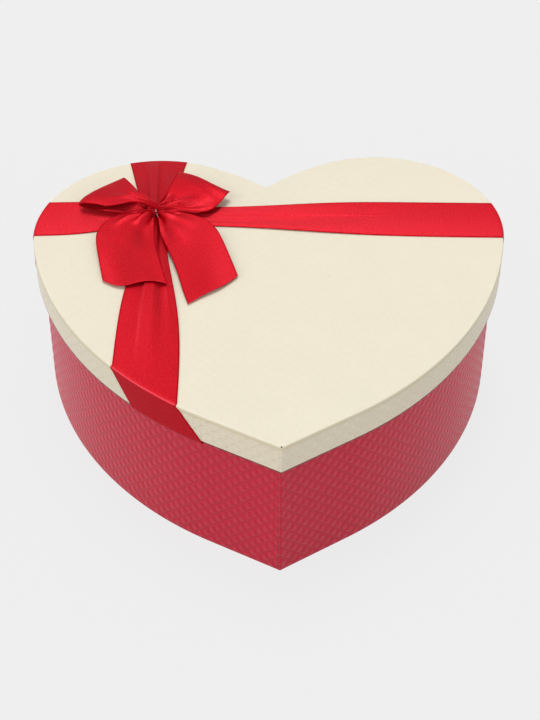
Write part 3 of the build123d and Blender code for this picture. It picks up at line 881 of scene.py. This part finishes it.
# Soft folds: where each starts and fades along the ribbon from the knot, its place across, its
# width and its height, the first four as shares
LEFT_LOOP_FOLDS = (
    (0.0, 0.42, 0.20, 0.17, 2.0), (0.0, 0.34, 0.45, 0.08, -0.6), (0.0, 0.2, 0.72, 0.12, 0.5),
)
RIGHT_LOOP_FOLDS = (
    (0.0, 0.36, 0.40, 0.08, 1.8), (0.04, 0.42, 0.22, 0.07, -0.9), (0.04, 0.5, 0.06, 0.10, 1.5),
)
LEFT_TAIL_FOLDS = (
    (0.02, 0.42, 0.22, 0.06, 1.5), (0.0, 0.30, 0.5, 0.07, 1.9), (0.0, 0.6, 0.72, 0.12, -1.3),
)
RIGHT_TAIL_FOLDS = (
    (0.0, 0.5, 0.62, 0.12, 0.9), (0.0, 0.4, 0.85, 0.08, -0.9), (0.0, 0.4, 0.3, 0.12, 0.8),
)
# How the tails' cut ends swing along the ribbon, once and twice across it
LEFT_END_SWING = (2.2, 2.85)
RIGHT_END_SWING = (1.5, 0.8)


def selvedge(points, rows):
    """Evenly spaced points along a woven edge."""
    return spline([(KNOT[0] + x, KNOT[1] + y, LID_TOP + z) for x, y, z in points], rows)


def between(first, second, rows, columns):
    """A sheet between two selvedges, with the share of the way along and across it."""
    one = selvedge(first, rows)
    two = selvedge(second, rows)
    v = np.linspace(0, 1, columns)
    points = one[:, None] * (1 - v)[None, :, None] + two[:, None] * v[None, :, None]
    return points, np.linspace(0, 1, rows)[:, None], v[None, :]


def ridge(along, aside, start, stop, place_across, width, height):
    """A soft fold that rises from the knot and fades."""
    rise = smooth_step(start, start + 0.25 * (stop - start), along)
    fade = 1 - smooth_step(start + 0.45 * (stop - start), stop, along)
    return height * rise * fade * np.exp(-(((aside - place_across) / width) ** 2))


def even_out(values):
    """Values along a piece of ribbon, smoothed over a few rows."""
    reach = 10
    window = np.hanning(2 * reach + 1)
    return np.convolve(np.pad(values, reach, mode="edge"), window / window.sum(), mode="valid")


def taken_up(points):
    """How far each row's cloth is turned under its edge, and its width left to be pleated."""
    width = np.linalg.norm(np.diff(points, axis=1), axis=-1).sum(1)
    full = np.maximum(FULLNESS * RIBBON_WIDTH, width)
    turn = even_out(np.minimum(full - width, TURN_SHARE * width))
    return turn, full - turn


def pleat_lift(points, along, aside, count, phase):
    """Pleats of the rows that are drawn in further than their edge is turned under. Their height
    in each row, which takes up the width wanted there, is found by halving."""
    profile = np.cos(2 * pi * count * aside + phase + 0.5 * np.sin(2 * pi * aside) + 0 * along)
    gap = np.linalg.norm(np.diff(points, axis=1), axis=-1)
    rise = np.diff(profile, axis=1)
    wanted = taken_up(points)[1]
    low = np.zeros(len(points))
    high = np.full(len(points), PLEAT_LIMIT)
    for _ in range(24):
        middle = (low + high) / 2
        length = np.sqrt(gap**2 + (middle[:, None] * rise) ** 2).sum(1)
        high = np.where(length > wanted, middle, high)
        low = np.where(length > wanted, low, middle)
    return profile * even_out(low)[:, None]


def turned_under(points, normal, turn):
    """The sheet with its first edge rolled under, its columns spread evenly again."""
    columns = points.shape[1]
    round_turn = np.linspace(0, pi, 9)[:, None]
    ahead = 6  # columns over which the way inward is measured
    rows = []
    for row, out, under in zip(points, normal[:, 0], turn):
        inward = row[ahead] - row[0]
        inward = inward / np.linalg.norm(inward)
        radius = min(ROLL_RADIUS, under / 5)
        middle = row[0] - out * radius
        roll = middle - out * radius * np.cos(round_turn) - inward * radius * np.sin(round_turn)
        back = np.linspace(max(under - pi * radius, 0.05), 0, 12, endpoint=False)[:, None]
        section = np.vstack([roll[0] + inward * back, roll[:-1], row])
        length = path_length(section)
        even = np.linspace(0, length[-1], columns)
        rows.append(np.stack([np.interp(even, length, section[:, k]) for k in range(3)], -1))
    return np.array(rows)


def loop_sheet(front, back, bulge, bulge_place, folds, count, phase):
    """A loop of ribbon, its front edge rolled under where its plies run into the knot."""
    points, along, aside = between(front, back, LOOP_ROWS, BOW_COLUMNS)
    hump = np.sin(pi * aside ** (np.log(0.5) / np.log(bulge_place))) * np.sin(pi * along) ** 2
    points = points + hump[..., None] * np.array(bulge)
    normal = sheet_normals(points)
    if normal[LOOP_ROWS * 3 // 4, BOW_COLUMNS // 2, 2] < 0:
        normal = -normal
    turn = taken_up(points)[0]
    lift = pleat_lift(points, along, aside, count, phase)
    upper = smooth_step(0.52, 0.62, along)
    arch = np.sin(pi * np.clip((along - 0.5) / 0.5, 0, 1))
    lift = lift + upper * LOOP_CROWN * np.sin(pi * aside) * arch
    for fold in folds:
        lift = lift + ridge(1 - along, aside, *fold)
    points = turned_under(points + normal * lift[..., None], normal, turn)
    points[..., 2] = np.maximum(points[..., 2], LID_TOP + LOW_PLY)
    return points


def tail_sheet(rolled, free, folds, count, phase, end_wave, end_swing):
    """A tail of ribbon, from its edge that is rolled under at the knot to its free edge. Its cut
    end rises and falls by end_wave and swings along the ribbon by the two parts of end_swing."""
    points, along, aside = between(rolled, free, TAIL_ROWS, BOW_COLUMNS)
    up = np.zeros_like(points)
    up[..., 2] = 1
    turn = taken_up(points)[0]
    lift = pleat_lift(points, along, aside, count, phase)
    for fold in folds:
        lift = lift + ridge(along, aside, *fold)
    lift = lift + TAIL_CROWN * np.sin(pi * aside) * np.sin(pi * along)
    near_end = smooth_step(0.5, 1.0, along)
    lift = lift + end_wave * near_end * np.cos(2 * pi * END_WAVES * aside + END_PHASE)
    points[..., 2] += lift
    swing = end_swing[0] * np.sin(pi * aside) + end_swing[1] * np.sin(2 * pi * aside)
    points[..., 1] -= near_end * swing
    points = turned_under(points, up, turn)
    points[..., 2] = np.maximum(points[..., 2], LID_TOP + 2 * RIBBON_LIFT)
    return points


def waist_sheet():
    """The gathered waist: the ribbon bunched into a short pleated bundle that the wire holds."""
    pleat_count, pleat_depth = 9, 0.23
    turns = np.linspace(0, 2 * pi, 109)
    rows = []
    for t in np.linspace(-1, 1, 25):
        pleats = pleat_depth * np.cos(pleat_count * turns + 1.2 * t)
        pleated = 1 + pleats + 0.05 * np.cos(5 * turns)
        radius = WAIST_RADIUS * (0.86 + 0.3 * t * t) * pleated
        y = KNOT[1] + radius * np.cos(turns)
        z = LID_TOP + WAIST_LEVEL + radius * 0.92 * np.sin(turns)
        rows.append(np.column_stack([np.full(len(turns), KNOT[0] + WAIST_LENGTH / 2 * t), y, z]))
    return np.array(rows)


def wire_tube(name):
    """Thin wire round the waist, ending in a twist that hangs between the tails."""
    curve = bpy.data.curves.new(name, "CURVE")
    curve.dimensions = "3D"
    curve.bevel_depth = WIRE / 2 * MM
    curve.bevel_resolution = 3
    radius = WAIST_RADIUS * 1.02
    points = []
    for t in np.linspace(0, 1, 48):
        angle = pi - 2 * pi * WIRE_TURNS * t
        x = KNOT[0] - 0.5 + t
        y = KNOT[1] + radius * cos(angle)
        points.append((x, y, LID_TOP + WAIST_LEVEL + radius * sin(angle)))
    for t in np.linspace(0, 1, 40)[1:]:
        turn = 2 * pi * TWIST_TURNS * t
        x = KNOT[0] + 0.5 + 1.2 * t + TWIST_RADIUS * cos(turn)
        y = KNOT[1] - radius - 0.4 - TWIST_LENGTH * t
        points.append((x, y, LID_TOP + WAIST_LEVEL - 0.5 * t + TWIST_RADIUS * sin(turn)))
    path = curve.splines.new("POLY")
    path.points.add(len(points) - 1)
    for point, spot in zip(path.points, points):
        point.co = (spot[0] * MM, spot[1] * MM, spot[2] * MM, 1.0)
    rod = add_object(name + "_path", curve)
    shaped = rod.evaluated_get(bpy.context.evaluated_depsgraph_get())
    mesh = bpy.data.meshes.new_from_object(shaped)
    bpy.data.objects.remove(rod)
    mesh.name = name
    mesh.polygons.foreach_set("use_smooth", [True] * len(mesh.polygons))
    return add_object(name, mesh)


# Putting the object together

# The red cover paper carries painted shade in the gap beside the lap at the tip.
red_cover = embossed_paper(
    "red_cover_paper", RED_PAPER, mapped=True, relief=0.36, groove=0.10, line_shade=0.68, coat=0.30,
    marks=((seam_gap_shade, GAP_SHADE_DARK),),
)
red_flat = embossed_paper(
    "red_flat_paper", RED_PAPER, mapped=False, relief=0.5, groove=0.10, line_shade=0.68, coat=0.30
)
# The skirt's paper carries painted shade along its bottom fold.
cream_cover = embossed_paper(
    "cream_cover_paper", SKIRT_CREAM, mapped=True, relief=0.34, groove=-0.14, line_shade=1.07,
    coat=0.4, marks=((rim_fold_shade, RIM_SHADE_DARK),),
)
# The top paper carries painted shade for the pinhole at the tip.
cream_top = embossed_paper(
    "cream_top_paper", CREAM_PAPER, mapped=True, relief=0.05, groove=-0.02, line_shade=1.01,
    coat=0.3, marks=((turned_edge, WARM_EDGE), (pinhole_shade, GAP_SHADE_DARK)),
)
lining = plain_paper("lining_paper", LINING_PAPER, rough_low=0.66, rough_high=0.82, fleck=0.15)
board = plain_paper("greyboard", GREYBOARD, rough_low=0.8, rough_high=0.95, fleck=0.6)
ribbon_satin = satin("red_satin", RED_SATIN)
wire_metal = bright_wire("silver_wire", SILVER)

NODE_MATERIALS = {
    "red_paper": red_flat, "cream_paper": cream_cover, "lining_paper": lining,
    "greyboard": board, "red_satin": ribbon_satin, "silver_wire": wire_metal,
}
for part in frame["record"]["subparts"]:
    for slot in frame["nodes"][part["node"]].material_slots:
        slot.material = NODE_MATERIALS[part["material_slot"]]

for word, side in (("left", -1), ("right", 1)):
    wall = cover(f"base_cover_{word}", base_section(), BASE_FACE, side, RED_RELIEF, 1)
    thicken(wall, PAPER, -1.0)
    place(wall, "base", "red_paper", red_cover, f"base_wrap_{word}")
    skirt = cover(f"lid_cover_{word}", lid_section(), 0.0, side, SKIRT_RELIEF, -1)
    thicken(skirt, PAPER, -1.0)
    place(skirt, "lid", "cream_paper", cream_cover, f"lid_wrap_{word}")

top_sheet = lid_top_sheet("lid_top_cover")
thicken(top_sheet, PAPER, -1.0)
place(top_sheet, "lid", "cream_paper", cream_top, "lid_top_paper")

cross = ribbon_piece("cross_band", cross_band())
place(cross, "lid", "red_satin", ribbon_satin, "cross_ribbon")
lengthwise = ribbon_piece("long_band", long_band())
place(lengthwise, "lid", "red_satin", ribbon_satin, "long_ribbon")

left_loop = loop_sheet(
    LEFT_LOOP_FRONT, LEFT_LOOP_BACK, LEFT_LOOP_BULGE, LEFT_BULGE_PLACE, LEFT_LOOP_FOLDS,
    count=2.5, phase=0.4,
)
right_loop = loop_sheet(
    RIGHT_LOOP_FRONT, RIGHT_LOOP_BACK, RIGHT_LOOP_BULGE, RIGHT_BULGE_PLACE, RIGHT_LOOP_FOLDS,
    count=2.5, phase=2.2,
)
left_tail = tail_sheet(
    LEFT_TAIL_LEFT, LEFT_TAIL_RIGHT, LEFT_TAIL_FOLDS,
    count=2.0, phase=0.4, end_wave=0.4, end_swing=LEFT_END_SWING,
)
right_tail = tail_sheet(
    RIGHT_TAIL_RIGHT, RIGHT_TAIL_LEFT, RIGHT_TAIL_FOLDS,
    count=2.0, phase=1.2, end_wave=0.4, end_swing=RIGHT_END_SWING,
)
bow_pieces = (
    ("bow_loop_left", left_loop, 0.090),
    ("bow_loop_right", right_loop, 0.090),
    ("bow_tail_left", left_tail, 0.076),
    ("bow_tail_right", right_tail, 0.088),
    ("bow_waist", waist_sheet(), WAIST_LENGTH * MM),
)
for name, points, length in bow_pieces:
    piece = ribbon_piece(name, points)
    place(piece, "lid", "red_satin", ribbon_satin, "bow")
place(wire_tube("bow_wire"), "lid", "silver_wire", wire_metal, "tie_wire")


# Stage, light and camera

def looked_at(tree):
    """1 where the camera looks straight, through glass or by a reflection, 0 for light on the
    object."""
    rays = add_node(tree, "ShaderNodeLightPath")
    seen = calc(tree, "MAXIMUM", rays.outputs["Is Camera Ray"], rays.outputs["Is Glossy Ray"])
    return calc(tree, "MAXIMUM", seen, rays.outputs["Is Transmission Ray"])


def stage_floor():
    """A pale floor. Seen by the camera or in a reflection it is mostly its own even tone, so that
    the object's soft shadow stays faint on it."""
    mesh = bpy.data.meshes.new("floor")
    mesh.from_pydata(FLOOR_CORNERS, [], [(0, 1, 2, 3)])
    floor = add_object("floor", mesh)
    material = bpy.data.materials.new("pale_floor")
    material.use_nodes = True
    tree = material.node_tree
    tree.nodes.clear()
    lit = add_node(tree, "ShaderNodeBsdfDiffuse", {"Color": grey(DULL_FLOOR)})
    tone = (PALE_FLOOR - (1 - EVEN_SHARE) * DULL_FLOOR) / EVEN_SHARE
    even = add_node(tree, "ShaderNodeEmission", {"Color": grey(tone)})
    share = calc(tree, "MULTIPLY", looked_at(tree), EVEN_SHARE)
    surface = mix_shaders(tree, share, lit.outputs[0], even.outputs[0])
    add_node(tree, "ShaderNodeOutputMaterial", {"Surface": surface})
    mesh.materials.append(material)


def sun_light(name, toward, strength, angle):
    """Distant soft light. strength is the share of a white surface's level that it gives."""
    lamp = bpy.data.lights.new(name, "SUN")
    lamp.energy = strength * pi
    lamp.angle = radians(angle)
    light = add_object(name, lamp)
    light.rotation_euler = Vector(toward).to_track_quat("-Z", "Y").to_euler()


def world_light(strength):
    """Even pale surroundings, seen as the background's tone."""
    world = bpy.data.worlds.new("studio")
    bpy.context.scene.world = world
    world.use_nodes = True
    tree = world.node_tree
    background = tree.nodes["Background"]
    background.inputs["Color"].default_value = grey(1.0)
    level = scaled(tree, looked_at(tree), PALE_FLOOR - strength, strength)
    tree.links.new(level, background.inputs["Strength"])


def camera():
    lens = bpy.data.cameras.new("camera")
    lens.sensor_fit = "HORIZONTAL"
    lens.sensor_width = SENSOR_WIDTH
    lens.lens = FOCAL_PIXELS / IMAGE_WIDTH * SENSOR_WIDTH
    lens.clip_start = 0.05
    lens.clip_end = 50.0
    viewer = add_object("camera", lens)
    aim = (CAMERA_TARGET - CAMERA_PLACE).to_track_quat("-Z", "Y").to_matrix().to_4x4()
    roll = Matrix.Rotation(CAMERA_ROLL, 4, "Z")
    viewer.matrix_world = Matrix.Translation(CAMERA_PLACE) @ aim @ roll
    bpy.context.scene.camera = viewer


stage_floor()
world_light(WORLD_LEVEL)
for sun in SUNS:
    sun_light(*sun)
camera()
bpy.context.scene.view_settings.view_transform = "Standard"
